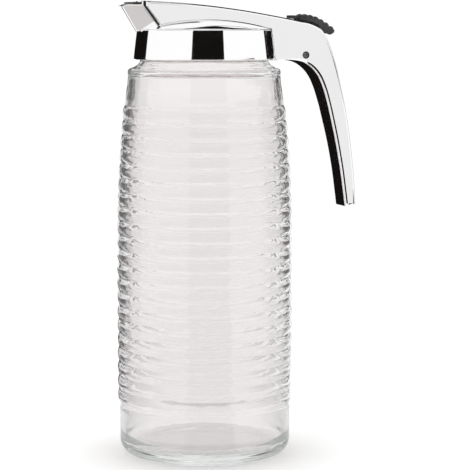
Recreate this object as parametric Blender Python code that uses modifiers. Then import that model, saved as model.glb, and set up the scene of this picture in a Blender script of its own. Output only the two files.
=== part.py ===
"""A ribbed glass jug with a chrome pouring head, a handle and a thumb lever that opens its spout.

Metres, +Z up. The jug stands on Z = 0 on its own axis, the spout towards -X and the handle
towards +X. Dimensions below are written in millimetres and turned to metres by metres().
"""

import math

import bmesh
import bpy
from mathutils import Matrix

# Gap left between pieces that touch
GAP = 0.3

# Glass: ringed body, plain foot and band, stepped shoulder and neck
SEGMENTS = 36
BODY_RADIUS = 50.0
TAPER_START = 130.0
TAPER_CURVE = 641.0
RIB_COUNT = 21
RIB_PITCH = 8.12
RIB_DEPTH = 0.95
RIB_POINTS = 4
RIBS_TOP = 200.3
FOOT_RADIUS = 49.0
FOOT_CORNER = 9.0
WALL = 3.0
FLOOR = 6.5
FLOOR_CORNER = 8.0
BAND_RADIUS = 45.2
SHOULDER_RADIUS = 43.4
SHOULDER_TOP = 221.4
SHOULDER_EDGE = 2.2
SHOULDER_INSIDE = [(39.6, 210.4), (38.2, 215.4), (35.2, 219.9), (33.4, 223.9), (33.0, 227.4)]
NECK_RADIUS = 36.4
NECK_FILLET = [(37.3, 223.8), (39.8, 222.0)]
MOUTH_RADIUS = 33.0
MOUTH_TOP = 241.2
MOUTH_EDGE = 1.2

# Screw collar
COLLAR_BOTTOM = 226.2
COLLAR_TOP = 242.8
COLLAR_BASE_RADIUS = 40.1
COLLAR_TOP_RADIUS = 38.1
COLLAR_BOW = 0.35
COLLAR_HOLE = 34.5
COLLAR_EDGE = 0.4

# Domed lid
DOME_BOTTOM = COLLAR_TOP + GAP
DOME_RADIUS = 37.5
DOME_EDGE = 243.4
DOME_APEX = 248.6
DOME_WALL = 1.6

# Spout: its front face leans out and widens upwards, and its mouth is in its level top
SPOUT_TIP_X = -50.0
SPOUT_TIP_HALF = 4.3
SPOUT_FOOT_X = -40.2
SPOUT_FOOT_Z = 242.0
SPOUT_FOOT_HALF = 1.0
SPOUT_BACK_FOOT_X = -25.0
SPOUT_FLARE_TOP = 255.9
SPOUT_RIM = 257.1
SPOUT_LIP_X = -46.4
SPOUT_LIP_DROP = 0.9
SPOUT_HUMP_X = -38.9
SPOUT_FRONT_WALL = 2.5
SPOUT_SIDE_WALL = 2.3
PASSAGE_SIDE = [
    (-34.3, 242.1), (-34.3, 243.9), (-38.5, 245.6), (-44.6, 252.4), (-44.6, 260.0),
    (-39.6, 260.0), (-39.6, 255.6), (-30.9, 244.2), (-30.9, 242.1),
]
PASSAGE_HALF = 6.0

# Seam between spout and bar, as the line that its middle follows
SEAM_X = -37.3
SEAM_TOP = 259.0
SEAM_KNEE = 256.2
SEAM_FOOT_X = -28.3
SEAM_FOOT_Z = 244.4
SEAM_WIDTH = 1.1
SEAL_THICKNESS = 0.6

# Bar and handle: pairs of points on the inner and the outer side, as x, z, x, z
BAR_WIDTH = 20.5
GRIP_WIDTH = 17.5
GRIP_TAPER_TOP = 225.0
GRIP_TAPER_BOTTOM = 165.0
INNER_EDGE = 2.1
OUTER_EDGE = 1.4
END_EDGE = 1.4
STATIONS = [
    (-26.0, 240.0, -40.0, 259.1),
    (-14.0, 238.0, -20.0, 258.2),
    (2.0, 236.0, 0.0, 256.6),
    (20.0, 232.0, 20.0, 254.1),
    (36.0, 226.0, 36.0, 251.5),
    (46.0, 226.0, 46.0, 249.7),
    (52.2, 225.5, 54.0, 248.1),
    (57.0, 224.2, 61.0, 246.7),
    (61.5, 221.2, 68.0, 242.6),
    (65.3, 216.9, 73.0, 233.1),
    (68.1, 211.3, 76.5, 222.7),
    (70.6, 204.0, 79.7, 210.0),
    (73.4, 193.5, 82.6, 197.8),
    (76.9, 178.7, 85.6, 181.5),
    (79.8, 163.5, 87.7, 165.0),
    (81.6, 151.0, 88.9, 152.0),
    (82.8, 142.2, 89.3, 142.2),
]

# Plate that covers the spout's mouth, and how far it slides back
SHUTTER_THICKNESS = 0.9
SHUTTER_FRONT_X = -45.7
SHUTTER_FRONT_HALF = 5.3
SHUTTER_HALF = 7.5
SHUTTER_REAR_X = -31.2
SHUTTER_CORNER = 1.0
SHUTTER_TRAVEL = 7.1

# Thumb lever and its pin
PIN_X = 57.7
PIN_Z = 228.6
PIN_RADIUS = 1.8
PIN_RECESS = 0.4
LEVER_SWING = 24.0
ARM_HALF = 3.0
BOSS_RADIUS = 3.3
SLOT_ROOM = 0.4
PAD_HALF_WIDTH = 6.0
PAD_CROWN_RADIUS = 14.0
PAD_TOP = [(55.7, 250.9), (61.0, 250.8), (66.6, 249.5), (72.2, 246.6), (77.4, 242.9)]
PAD_UNDER = [(72.2, 241.4), (69.1, 244.1), (65.2, 246.5), (61.4, 247.8), (55.7, 248.8)]
PAD_TIP = (75.9, 242.4)
PAD_TIP_RADIUS = 2.2
PAD_SLICES = (-1.0, -0.93, -0.65, -0.3, 0.0, 0.3, 0.65, 0.93, 1.0)
RIDGE_COUNT = 7
RIDGE_HEIGHT = 1.2
RIDGE_SHAPE = (0.0, 0.7, 1.0, 0.7)
TONGUE_SIDE = [(50.6, 249.6), (50.6, 251.3), (56.8, 251.1), (56.8, 249.0)]
TONGUE_HALF_WIDTH = 3.5

for old in list(bpy.data.objects):
    bpy.data.objects.remove(old, do_unlink=True)

jug = bpy.data.collections.new("glass_jug_with_pouring_head")
cutters = bpy.data.collections.new("cutters")
bpy.context.scene.collection.children.link(jug)
bpy.context.scene.collection.children.link(cutters)


def metres(points):
    return [tuple(value * 0.001 for value in point) for point in points]


def add(name, mesh, collection):
    thing = bpy.data.objects.new(name, mesh)
    collection.objects.link(thing)
    if collection is cutters:
        thing.hide_render = True
        thing.display_type = "WIRE"
    return thing


def tidy(mesh, flat_faces=False):
    """Joins doubled points, splits faces that may be bent, and turns every face outwards."""
    work = bmesh.new()
    work.from_mesh(mesh)
    bmesh.ops.remove_doubles(work, verts=work.verts, dist=1e-7)
    if flat_faces:
        bmesh.ops.triangulate(work, faces=work.faces)
    bmesh.ops.recalc_face_normals(work, faces=work.faces)
    work.to_mesh(mesh)
    work.free()


def baked(thing):
    """The mesh that the object's modifiers or curve settings give."""
    bpy.context.view_layer.update()
    graph = bpy.context.evaluated_depsgraph_get()
    return bpy.data.meshes.new_from_object(thing.evaluated_get(graph))


def turned(name, profile, collection, closed=False):
    """A solid of revolution. The profile (radius, z) runs down the outer side, top to bottom."""
    mesh = bpy.data.meshes.new(name + "_profile")
    count = len(profile)
    edges = [(i, (i + 1) % count) for i in range(count if closed else count - 1)]
    mesh.from_pydata(metres([(r, 0, z) for r, z in profile]), edges, [])
    draft = add(name + "_draft", mesh, cutters)
    screw = draft.modifiers.new("turn", "SCREW")
    screw.axis = "Z"
    screw.steps = screw.render_steps = SEGMENTS
    screw.use_merge_vertices = True
    screw.merge_threshold = 0.00001
    solid = baked(draft)
    bpy.data.objects.remove(draft, do_unlink=True)
    tidy(solid)
    return add(name, solid, collection)


def plate(name, outline, half_width, collection):
    """A flat outline (x, z) given a thickness across Y."""
    curve = bpy.data.curves.new(name + "_outline", "CURVE")
    curve.dimensions = "2D"
    curve.fill_mode = "BOTH"
    curve.extrude = half_width * 0.001
    spline = curve.splines.new("POLY")
    spline.points.add(len(outline) - 1)
    for point, (x, z) in zip(spline.points, metres(outline)):
        point.co = (x, z, 0, 1)
    spline.use_cyclic_u = True
    draft = add(name + "_draft", curve, cutters)
    solid = baked(draft)
    bpy.data.objects.remove(draft, do_unlink=True)
    solid.transform(Matrix.Rotation(math.pi / 2, 4, "X"))
    tidy(solid)
    return add(name, solid, collection)


def loft(name, rings, collection):
    """A skin over rings of equally many points, with both ends closed."""
    count = len(rings[0])
    last = (len(rings) - 1) * count
    faces = [tuple(range(count)), tuple(range(last, last + count))]
    for i in range(len(rings) - 1):
        for j in range(count):
            a, b = i * count + j, i * count + (j + 1) % count
            faces.append((a, b, b + count, a + count))
    mesh = bpy.data.meshes.new(name)
    mesh.from_pydata(metres([point for ring in rings for point in ring]), [], faces)
    tidy(mesh, flat_faces=True)
    return add(name, mesh, collection)


def rod(name, x, z, radius, half_length, collection):
    """A round bar across Y."""
    mesh = bpy.data.meshes.new(name)
    across = Matrix.Translation((x * 0.001, 0, z * 0.001)) @ Matrix.Rotation(math.pi / 2, 4, "X")
    work = bmesh.new()
    bmesh.ops.create_cone(
        work, cap_ends=True, segments=20, radius1=radius * 0.001, radius2=radius * 0.001,
        depth=2 * half_length * 0.001, matrix=across,
    )
    work.to_mesh(mesh)
    work.free()
    return add(name, mesh, collection)


def combine(thing, operation, other):
    step = thing.modifiers.new(other.name, "BOOLEAN")
    step.operation = operation
    step.solver = "EXACT"
    step.object = other


def set_origin(thing, x, z):
    """Puts the object's origin at (x, 0, z) and leaves its shape where it is."""
    place = Matrix.Translation((x * 0.001, 0, z * 0.001))
    thing.data.transform(place.inverted())
    thing.location = place.translation


def arc(x, z, radius, start, end, count):
    """Points round a centre, from one angle to another in degrees."""
    angles = [math.radians(start + (end - start) * i / count) for i in range(count + 1)]
    return [(x + radius * math.cos(a), z + radius * math.sin(a)) for a in angles]


def smooth_line(points, per_span):
    """A smooth curve through the points, which may have any number of values each."""
    before = tuple(2 * a - b for a, b in zip(points[0], points[1]))
    after = tuple(2 * a - b for a, b in zip(points[-1], points[-2]))
    p = [before, *points, after]
    line = []
    for i in range(1, len(p) - 2):
        for step in range(per_span):
            t = step / per_span
            line.append(tuple(
                b + 0.5 * ((c - a) * t + (2 * a - 5 * b + 4 * c - d) * t ** 2
                           + (3 * b - a - 3 * c + d) * t ** 3)
                for a, b, c, d in zip(p[i - 1], p[i], p[i + 1], p[i + 2])
            ))
    return line + [tuple(points[-1])]


# Glass jug


def body_radius(z):
    return BODY_RADIUS - max(0.0, z - TAPER_START) ** 2 / (2 * TAPER_CURVE)


def ribs():
    """The ring ribs, from the top one down, each a shallow arc between two notches."""
    points = []
    for i in range(RIB_COUNT * RIB_POINTS + 1):
        z = RIBS_TOP - RIB_PITCH * i / RIB_POINTS
        across = (i % RIB_POINTS) / RIB_POINTS
        bulge = 4 * across * (1 - across)
        points.append((body_radius(z) - RIB_DEPTH * (1 - bulge), z))
    return points


inner_radius = BODY_RADIUS - RIB_DEPTH - WALL
ribs_bottom = RIBS_TOP - RIB_COUNT * RIB_PITCH
glass_profile = [(0, FLOOR)]
glass_profile += arc(inner_radius - FLOOR_CORNER, FLOOR + FLOOR_CORNER, FLOOR_CORNER, -90, 0, 4)
glass_profile += [(body_radius(z) - RIB_DEPTH - WALL, z) for z in (TAPER_START, 160, 190)]
glass_profile += SHOULDER_INSIDE
glass_profile += [
    (MOUTH_RADIUS, MOUTH_TOP - MOUTH_EDGE),
    (MOUTH_RADIUS + MOUTH_EDGE, MOUTH_TOP),
    (NECK_RADIUS - MOUTH_EDGE, MOUTH_TOP),
    (NECK_RADIUS, MOUTH_TOP - MOUTH_EDGE),
    (NECK_RADIUS, COLLAR_BOTTOM),
]
glass_profile += NECK_FILLET
edge = SHOULDER_EDGE
glass_profile += arc(SHOULDER_RADIUS - edge, SHOULDER_TOP - edge, edge, 75, 10, 4)
glass_profile += [(SHOULDER_RADIUS, SHOULDER_TOP - 2.5 * edge), (BAND_RADIUS, RIBS_TOP + 0.1)]
glass_profile += ribs()
glass_profile += [(FOOT_RADIUS - 0.5, ribs_bottom - 0.8), (FOOT_RADIUS, FOOT_CORNER + 1)]
glass_profile += arc(FOOT_RADIUS - FOOT_CORNER, FOOT_CORNER, FOOT_CORNER, 0, -90, 6)
glass_profile += [(0, 0)]
glass = turned("glass_jug", glass_profile, jug)

# Screw collar


def collar_side(grow, steps=4):
    """The collar's bowed outer side, top to bottom, moved outwards by grow."""
    height = COLLAR_TOP - COLLAR_BOTTOM - 2 * COLLAR_EDGE
    side = []
    for i in range(steps + 1):
        t = i / steps
        radius = COLLAR_TOP_RADIUS + (COLLAR_BASE_RADIUS - COLLAR_TOP_RADIUS) * t
        bow = COLLAR_BOW * 4 * t * (1 - t)
        side.append((radius + bow + grow, COLLAR_TOP - COLLAR_EDGE - height * t))
    return side


collar_profile = [(COLLAR_HOLE, COLLAR_TOP), (COLLAR_TOP_RADIUS - COLLAR_EDGE, COLLAR_TOP)]
collar_profile += collar_side(0)
collar_profile += [
    (COLLAR_BASE_RADIUS - COLLAR_EDGE, COLLAR_BOTTOM),
    (NECK_RADIUS + GAP, COLLAR_BOTTOM),
    (NECK_RADIUS + GAP, MOUTH_TOP + GAP),
    (COLLAR_HOLE, MOUTH_TOP + GAP),
]
collar = turned("screw_collar", collar_profile, jug, closed=True)

# Domed lid


def dome_arc(outer, lower, steps=6):
    """The dome's section from its middle outwards, moved down by lower."""
    radii = [outer * i / steps for i in range(steps + 1)]
    fall = (DOME_APEX - DOME_EDGE) / DOME_RADIUS ** 2
    return [(r, DOME_APEX - fall * r * r - lower) for r in radii]


under_apex = DOME_APEX - DOME_WALL - DOME_BOTTOM
hollow_radius = DOME_RADIUS * math.sqrt(under_apex / (DOME_APEX - DOME_EDGE))
dome_profile = dome_arc(DOME_RADIUS, 0)
dome_profile += [(DOME_RADIUS, DOME_BOTTOM)]
dome_profile += reversed(dome_arc(hollow_radius, DOME_WALL))
lid = turned("pouring_lid", dome_profile, jug)

# Spout on the lid


def seam(shift):
    """The seam's line from the top down, moved by shift along X."""
    run = (SEAM_FOOT_X - SEAM_X) / (SEAM_KNEE - SEAM_FOOT_Z)
    below = 4.0
    return [
        (SEAM_X + shift, SEAM_TOP),
        (SEAM_X + shift, SEAM_KNEE),
        (SEAM_FOOT_X + shift, SEAM_FOOT_Z),
        (SEAM_FOOT_X + shift + run * below, SEAM_FOOT_Z - below),
    ]


def front_face(z):
    """X of the spout's leaning front face at a height."""
    lean = (SPOUT_TIP_X - SPOUT_FOOT_X) / (SPOUT_RIM - SPOUT_FOOT_Z)
    return SPOUT_FOOT_X + lean * (z - SPOUT_FOOT_Z)


def spout_level(z, front_x, front_half, rear_x, rear_half):
    """A level section of the spout: a wedge with its front corners eased."""
    slope = (rear_half - front_half) / (rear_x - front_x)
    edge = min(0.8, front_half / 2)
    half = [
        (front_x, front_half - edge),
        (front_x + edge, front_half + slope * edge),
        (rear_x, rear_half),
    ]
    return [(x, y, z) for x, y in half] + [(x, -y, z) for x, y in reversed(half)]


def within_walls(z, front_x, front_half, rear_x, rear_half):
    """The same level taken in by the spout's walls."""
    slope = (rear_half - front_half) / (rear_x - front_x)
    inner_half = front_half + slope * SPOUT_FRONT_WALL - SPOUT_SIDE_WALL
    return spout_level(z, front_x + SPOUT_FRONT_WALL, inner_half, rear_x, rear_half - SPOUT_SIDE_WALL)


bar_half = BAR_WIDTH / 2
lip_z = SPOUT_RIM - SPOUT_LIP_DROP
spout_side = [
    (front_face(SPOUT_FOOT_Z), SPOUT_FOOT_Z),
    (front_face(lip_z), lip_z),
    (SPOUT_LIP_X, SPOUT_RIM),
    (SPOUT_HUMP_X, SPOUT_RIM),
    (SPOUT_HUMP_X, SEAM_TOP),
]
spout_side += seam(-SEAM_WIDTH / 2)[:3] + [(SEAM_FOOT_X - SEAM_WIDTH / 2, SPOUT_FOOT_Z)]
spout = plate("spout", spout_side, BAR_WIDTH, cutters)
flare_x = front_face(SPOUT_FLARE_TOP)
SPOUT_LEVELS = [
    (SPOUT_FOOT_Z - 1, SPOUT_FOOT_X + 0.3, SPOUT_FOOT_HALF, SPOUT_BACK_FOOT_X, bar_half),
    (SPOUT_FLARE_TOP, flare_x - 0.3, SPOUT_TIP_HALF, SEAM_X, bar_half),
    (SEAM_TOP + 1, flare_x - 0.8, SPOUT_TIP_HALF, SEAM_X, bar_half),
]
spout_plan = loft("spout_plan", [spout_level(*level) for level in SPOUT_LEVELS], cutters)
combine(spout, "INTERSECT", spout_plan)

# Room over the collar that the spout leaves, its middle just inside the dome's rim
within_rim = DOME_BOTTOM + 0.2
over_collar = [(0, within_rim), (DOME_RADIUS - 1.2, within_rim)]
over_collar += [(COLLAR_TOP_RADIUS - COLLAR_EDGE, DOME_BOTTOM)]
over_collar += collar_side(GAP)
over_collar += [(COLLAR_BASE_RADIUS + GAP, COLLAR_BOTTOM - 1), (0, COLLAR_BOTTOM - 1)]
collar_room = turned("collar_room", over_collar, cutters)
combine(spout, "DIFFERENCE", collar_room)
combine(lid, "UNION", spout)

# Passage from the jug's mouth up to the spout's mouth
passage = plate("passage", PASSAGE_SIDE, PASSAGE_HALF, cutters)
passage_plan = loft("passage_plan", [within_walls(*level) for level in SPOUT_LEVELS], cutters)
combine(passage, "INTERSECT", passage_plan)
combine(lid, "DIFFERENCE", passage)

# Channel that the shutter slides back in, open at the top
channel_front = SPOUT_HUMP_X - 0.5
channel_rear = SHUTTER_REAR_X + SHUTTER_TRAVEL + 2 * GAP
channel_top = SEAM_TOP + 3
channel_side = [
    (channel_front, SPOUT_RIM), (channel_front, channel_top),
    (channel_rear, channel_top), (channel_rear, SPOUT_RIM),
]
channel = plate("shutter_channel", channel_side, SHUTTER_HALF + GAP, cutters)
combine(lid, "DIFFERENCE", channel)

# Room above the lid and round the collar, left by the seal and the bar
over_head = dome_arc(DOME_RADIUS + GAP, -GAP) + collar_side(GAP)
over_head += [(COLLAR_BASE_RADIUS + GAP, COLLAR_BOTTOM - 10), (0, COLLAR_BOTTOM - 10)]
head_room = turned("head_room", over_head, cutters)

# Seal in the seam
seal_side = seam(-SEAL_THICKNESS / 2) + list(reversed(seam(SEAL_THICKNESS / 2)))
seal = plate("seam_seal", seal_side, bar_half - 0.2, jug)
combine(seal, "DIFFERENCE", head_room)
combine(seal, "DIFFERENCE", channel)

# Bar and handle


def handle_width(z):
    t = min(1.0, max(0.0, (z - GRIP_TAPER_BOTTOM) / (GRIP_TAPER_TOP - GRIP_TAPER_BOTTOM)))
    return GRIP_WIDTH + (BAR_WIDTH - GRIP_WIDTH) * t * t * (3 - 2 * t)


def handle_ring(inner_x, inner_z, outer_x, outer_z, inset=0.0, drop=0.0):
    """A section across the handle with its four long edges rounded."""
    depth = math.hypot(outer_x - inner_x, outer_z - inner_z)
    half = handle_width((inner_z + outer_z) / 2) / 2 - inset
    corners = (
        (inset + INNER_EDGE, half - INNER_EDGE, INNER_EDGE, 90, 180, 4),
        (inset + INNER_EDGE, INNER_EDGE - half, INNER_EDGE, 180, 270, 4),
        (depth - inset - OUTER_EDGE, OUTER_EDGE - half, OUTER_EDGE, 270, 360, 3),
        (depth - inset - OUTER_EDGE, half - OUTER_EDGE, OUTER_EDGE, 0, 90, 3),
    )
    ring = [point for corner in corners for point in arc(*corner)]
    step_x, step_z = (outer_x - inner_x) / depth, (outer_z - inner_z) / depth
    return [(inner_x + step_x * u, y, inner_z + step_z * u - drop) for u, y in ring]


sections = smooth_line(STATIONS, 3)
rings = [handle_ring(*section) for section in sections]
for turn in (math.radians(angle) for angle in (30, 60, 90)):
    inset, drop = END_EDGE * (1 - math.cos(turn)), END_EDGE * math.sin(turn)
    rings.append(handle_ring(*sections[-1], inset, drop))
handle = loft("bar_handle", rings, jug)
combine(handle, "DIFFERENCE", head_room)

# Everything in front of the seam is cut off the bar
well_front, well_above, well_below = -60.0, 270.0, 225.0
seam_top, *seam_rest = seam(SEAM_WIDTH / 2)
front = [(well_front, well_above), (seam_top[0], well_above), *seam_rest]
front += [(seam_rest[-1][0], well_below), (well_front, well_below)]
front_room = plate("front_room", front, BAR_WIDTH, cutters)
combine(handle, "DIFFERENCE", front_room)
combine(handle, "DIFFERENCE", channel)

# Slot for the lever's arm, wide enough for its whole swing
swing = math.radians(LEVER_SWING)
slot_half = ARM_HALF + SLOT_ROOM
reach = 30.0
rear_x = PIN_X + slot_half * math.cos(swing) + GAP + reach * math.sin(swing)
rear_z = PIN_Z - slot_half * math.sin(swing) + reach * math.cos(swing)
slot_side = arc(PIN_X, PIN_Z, BOSS_RADIUS + SLOT_ROOM, 180, 360, 8)
slot_side += [(rear_x, rear_z), (PIN_X - slot_half - GAP, PIN_Z + reach)]
slot = plate("lever_slot", slot_side, ARM_HALF + GAP, cutters)
combine(handle, "DIFFERENCE", slot)
pin_hole = rod("pin_hole", PIN_X, PIN_Z, PIN_RADIUS + GAP, BAR_WIDTH, cutters)
combine(handle, "DIFFERENCE", pin_hole)

# Pivot pin
pin = rod("pivot_pin", PIN_X, PIN_Z, PIN_RADIUS, bar_half - PIN_RECESS, jug)

# Shutter over the spout's mouth
shutter_bottom = SPOUT_RIM + GAP


def shutter_level(z):
    half = [
        (SHUTTER_FRONT_X, SHUTTER_FRONT_HALF - SHUTTER_CORNER),
        (SHUTTER_FRONT_X + SHUTTER_CORNER, SHUTTER_FRONT_HALF),
        (SPOUT_HUMP_X + SHUTTER_CORNER, SHUTTER_HALF),
        (SHUTTER_REAR_X, SHUTTER_HALF),
    ]
    return [(x, y, z) for x, y in half] + [(x, -y, z) for x, y in reversed(half)]


shutter_levels = [shutter_level(shutter_bottom), shutter_level(shutter_bottom + SHUTTER_THICKNESS)]
shutter = loft("spout_shutter", shutter_levels, jug)
set_origin(shutter, SHUTTER_FRONT_X, shutter_bottom)

# Thumb lever: crowned and ridged pad, front tongue and arm down to the pin


def pad_top(across):
    """The ridged top of the pad at a distance from its middle, front to tip."""
    line = smooth_line(PAD_TOP, RIDGE_COUNT * len(RIDGE_SHAPE) // (len(PAD_TOP) - 1))
    fall = across * across / (2 * PAD_CROWN_RADIUS)
    points = []
    for i, (x, z) in enumerate(line):
        before, after = line[max(i - 1, 0)], line[min(i + 1, len(line) - 1)]
        dx, dz = after[0] - before[0], after[1] - before[1]
        length = math.hypot(dx, dz)
        rise = RIDGE_SHAPE[i % len(RIDGE_SHAPE)] * RIDGE_HEIGHT - fall
        points.append((x - dz / length * rise, z + dx / length * rise))
    return points


def pad_ring(across):
    """The pad's outline at a distance from its middle. Its rear is rounded in plan."""
    tip_radius = PAD_TIP_RADIUS * (1 - 0.06 * abs(across))
    ring = pad_top(across) + arc(*PAD_TIP, tip_radius, 25, -125, 5) + PAD_UNDER
    middle, rear_start, rear_length = 2.5, 66.0, 12.0
    shorter = max(0.0, abs(across) - middle) ** 2 * 0.12
    return [(x - shorter * max(0.0, x - rear_start) / rear_length, across, z) for x, z in ring]


lever = loft("thumb_lever", [pad_ring(PAD_HALF_WIDTH * part) for part in PAD_SLICES], jug)
tongue = plate("tongue", TONGUE_SIDE, TONGUE_HALF_WIDTH, cutters)
arm_top = PAD_UNDER[-1][1] + GAP
arm_side = arc(PIN_X, PIN_Z, BOSS_RADIUS, 180, 360, 8)
arm_side += [(PIN_X + ARM_HALF, PIN_Z + ARM_HALF), (PIN_X + ARM_HALF, arm_top)]
arm_side += [(PIN_X - ARM_HALF, arm_top), (PIN_X - ARM_HALF, PIN_Z + ARM_HALF)]
arm = plate("arm", arm_side, ARM_HALF, cutters)
arm_hole = rod("arm_hole", PIN_X, PIN_Z, PIN_RADIUS + GAP, BAR_WIDTH, cutters)
combine(lever, "UNION", tongue)
combine(lever, "UNION", arm)
combine(lever, "DIFFERENCE", arm_hole)
set_origin(lever, PIN_X, PIN_Z)

# Materials and shading

GLASS = ((0.86, 0.90, 0.89), 0.05, 0.0)
CHROME = ((0.78, 0.79, 0.80), 0.08, 1.0)
BLACK_PLASTIC = ((0.03, 0.03, 0.032), 0.45, 0.0)
DARK_STEEL = ((0.10, 0.10, 0.105), 0.35, 1.0)


def finish(thing, colour, roughness, metallic):
    material = bpy.data.materials.new(thing.name + "_material")
    material.use_nodes = True
    shader = next(node for node in material.node_tree.nodes if node.type == "BSDF_PRINCIPLED")
    shader.inputs["Base Color"].default_value = (*colour, 1.0)
    shader.inputs["Roughness"].default_value = roughness
    shader.inputs["Metallic"].default_value = metallic
    thing.data.materials.append(material)
    thing.data.shade_smooth()
    thing.data.set_sharp_from_angle(angle=math.radians(35))


finish(glass, *GLASS)
for piece in (collar, lid, handle):
    finish(piece, *CHROME)
for piece in (seal, shutter, lever):
    finish(piece, *BLACK_PLASTIC)
finish(pin, *DARK_STEEL)
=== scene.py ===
"""Looks of a ribbed glass jug with a chrome pouring head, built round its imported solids.

Metres, +Z up. The jug stands on Z = 0 on its own axis, the spout towards -X and the handle
towards +X. Dimensions are written in millimetres and turned to metres by metres().
"""

import math

import bmesh
import bpy
from mathutils import Matrix, Vector


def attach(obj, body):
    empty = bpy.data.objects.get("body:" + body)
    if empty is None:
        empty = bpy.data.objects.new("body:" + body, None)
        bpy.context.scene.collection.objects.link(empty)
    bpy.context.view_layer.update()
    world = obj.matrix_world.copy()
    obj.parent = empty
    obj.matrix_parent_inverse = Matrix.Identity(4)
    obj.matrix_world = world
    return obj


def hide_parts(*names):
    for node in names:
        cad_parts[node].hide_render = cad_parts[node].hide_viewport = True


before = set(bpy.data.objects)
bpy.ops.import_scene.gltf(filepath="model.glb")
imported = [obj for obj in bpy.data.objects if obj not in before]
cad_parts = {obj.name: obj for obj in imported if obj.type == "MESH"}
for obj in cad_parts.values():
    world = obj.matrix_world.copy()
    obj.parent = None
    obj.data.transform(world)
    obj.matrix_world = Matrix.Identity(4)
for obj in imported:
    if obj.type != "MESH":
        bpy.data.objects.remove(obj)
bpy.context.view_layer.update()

GAP = 0.3
LATHE_SEGMENTS = 192
ROD_SEGMENTS = 64
SOFT_ANGLE = 30
GLASS_SOFT_ANGLE = 50
PAD_SOFT_ANGLE = 40
FLAT_FACE_WEIGHT = 80

# Glass
BODY_RADIUS = 50.0
TAPER_START = 130.0
TAPER_CURVE = 641.0
RIB_COUNT = 21
RIB_PITCH = 8.12
RIB_DEPTH = 0.95
RIB_POINTS = 14
RIBS_TOP = 200.3
RIBS_BOTTOM = RIBS_TOP - RIB_COUNT * RIB_PITCH
RIB_WANDER = 0.07
RIB_DASH = 0.05
RIB_WAVE = 0.12
FOOT_RADIUS = 49.0
FOOT_CORNER = 9.0
WALL = 3.0
FLOOR = 6.5
FLOOR_CORNER = 8.0
BAND_RADIUS = 45.2
SHOULDER_RADIUS = 43.4
SHOULDER_TOP = 221.4
SHOULDER_EDGE = 2.2
SHOULDER_INSIDE = [
    (41.4, 206.0), (40.8, 212.0), (40.1, 217.2), (38.0, 220.2), (34.8, 223.0), (33.1, 227.2),
]
NECK_RADIUS = 36.4
NECK_FILLET = [(37.3, 223.8), (39.8, 222.0)]
MOUTH_RADIUS = 33.0
MOUTH_TOP = 241.2
MOUTH_EDGE = 1.2

# Screw collar
COLLAR_BOTTOM = 226.2
COLLAR_TOP = 242.8
COLLAR_BASE_RADIUS = 40.1
COLLAR_TOP_RADIUS = 38.1
COLLAR_BOW = 0.35
RING_BOW = 0.07
COLLAR_ROWS = 14
COLLAR_HOLE = 34.5
COLLAR_EDGE = 0.4

# Domed lid
DOME_BOTTOM = COLLAR_TOP + GAP
DOME_RADIUS = 37.5
DOME_EDGE = 243.4
DOME_APEX = 248.6
DOME_WALL = 1.6
DOME_ROUND = 0.1

# Spout
SPOUT_TIP_X = -50.0
SPOUT_TIP_HALF = 4.3
SPOUT_FOOT_X = -40.2
SPOUT_FOOT_Z = 242.0
SPOUT_FOOT_HALF = 1.0
SPOUT_BACK_FOOT_X = -25.0
SPOUT_FLARE_TOP = 255.9
SPOUT_RIM = 257.1
SPOUT_LIP_X = -46.4
SPOUT_LIP_DROP = 0.9
SPOUT_HUMP_X = -38.9
SPOUT_FRONT_WALL = 2.5
SPOUT_SIDE_WALL = 2.3
PASSAGE_SIDE = [
    (-34.3, 242.1), (-34.3, 243.9), (-38.5, 245.6), (-44.6, 252.4), (-44.6, 260.0),
    (-39.6, 260.0), (-39.6, 255.6), (-30.9, 244.2), (-30.9, 242.1),
]
PASSAGE_HALF = 6.0
PASSAGE_REAR_X = -24

# Seam between spout and bar
SEAM_X = -37.3
SEAM_TOP = 259.0
SEAM_KNEE = 256.2
SEAM_FOOT_X = -28.3
SEAM_FOOT_Z = 244.4
SEAM_WIDTH = 1.1
SEAL_THICKNESS = 0.6

# Bar and grip
BAR_WIDTH = 20.5
GRIP_WIDTH = 17.5
GRIP_TAPER_TOP = 225.0
GRIP_TAPER_BOTTOM = 165.0
SEAM_EDGE = 0.7
HEAD_EDGE = 0.45
INNER_EDGE = 2.1
INNER_EDGE_START = 46.0
INNER_EDGE_FULL = 60.0
OUTER_EDGE = 1.4
END_EDGE = 1.4
END_CORNER = 2.2
BEND_TOP = 228
# Along the bar and down the grip: a point on the inner and one on the outer side, x, z, x, z
STATIONS = [
    (-26.0, 240.0, -40.0, 259.1),
    (-14.0, 238.0, -20.0, 258.2),
    (2.0, 236.0, 0.0, 256.6),
    (20.0, 232.0, 20.0, 254.1),
    (36.0, 226.0, 36.0, 251.5),
    (46.0, 226.0, 46.0, 249.7),
    (52.2, 225.5, 54.0, 248.1),
    (57.0, 224.2, 61.0, 246.7),
    (61.5, 221.2, 68.0, 242.6),
    (65.3, 216.9, 73.0, 233.1),
    (68.1, 211.3, 76.5, 222.7),
    (70.6, 204.0, 79.7, 210.0),
    (73.4, 193.5, 82.6, 197.8),
    (76.9, 178.7, 85.6, 181.5),
    (79.8, 163.5, 87.7, 165.0),
    (81.6, 151.0, 88.9, 152.0),
    (82.8, 142.2, 89.3, 142.2),
]

# Shutter over the spout's mouth
SHUTTER_THICKNESS = 0.9
SHUTTER_FRONT_X = -45.7
SHUTTER_FRONT_HALF = 5.3
SHUTTER_HALF = 7.5
SHUTTER_REAR_X = -31.2
SHUTTER_CORNERS = [1.6, 1.5, 0.4, 0.4, 1.5, 1.6]
SHUTTER_TRAVEL = 7.1
SHUTTER_LEVELS = [
    (0, 0.12), (0.12, 0), (SHUTTER_THICKNESS - 0.3, 0), (SHUTTER_THICKNESS - 0.1, 0.1),
    (SHUTTER_THICKNESS, 0.3),
]

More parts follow.
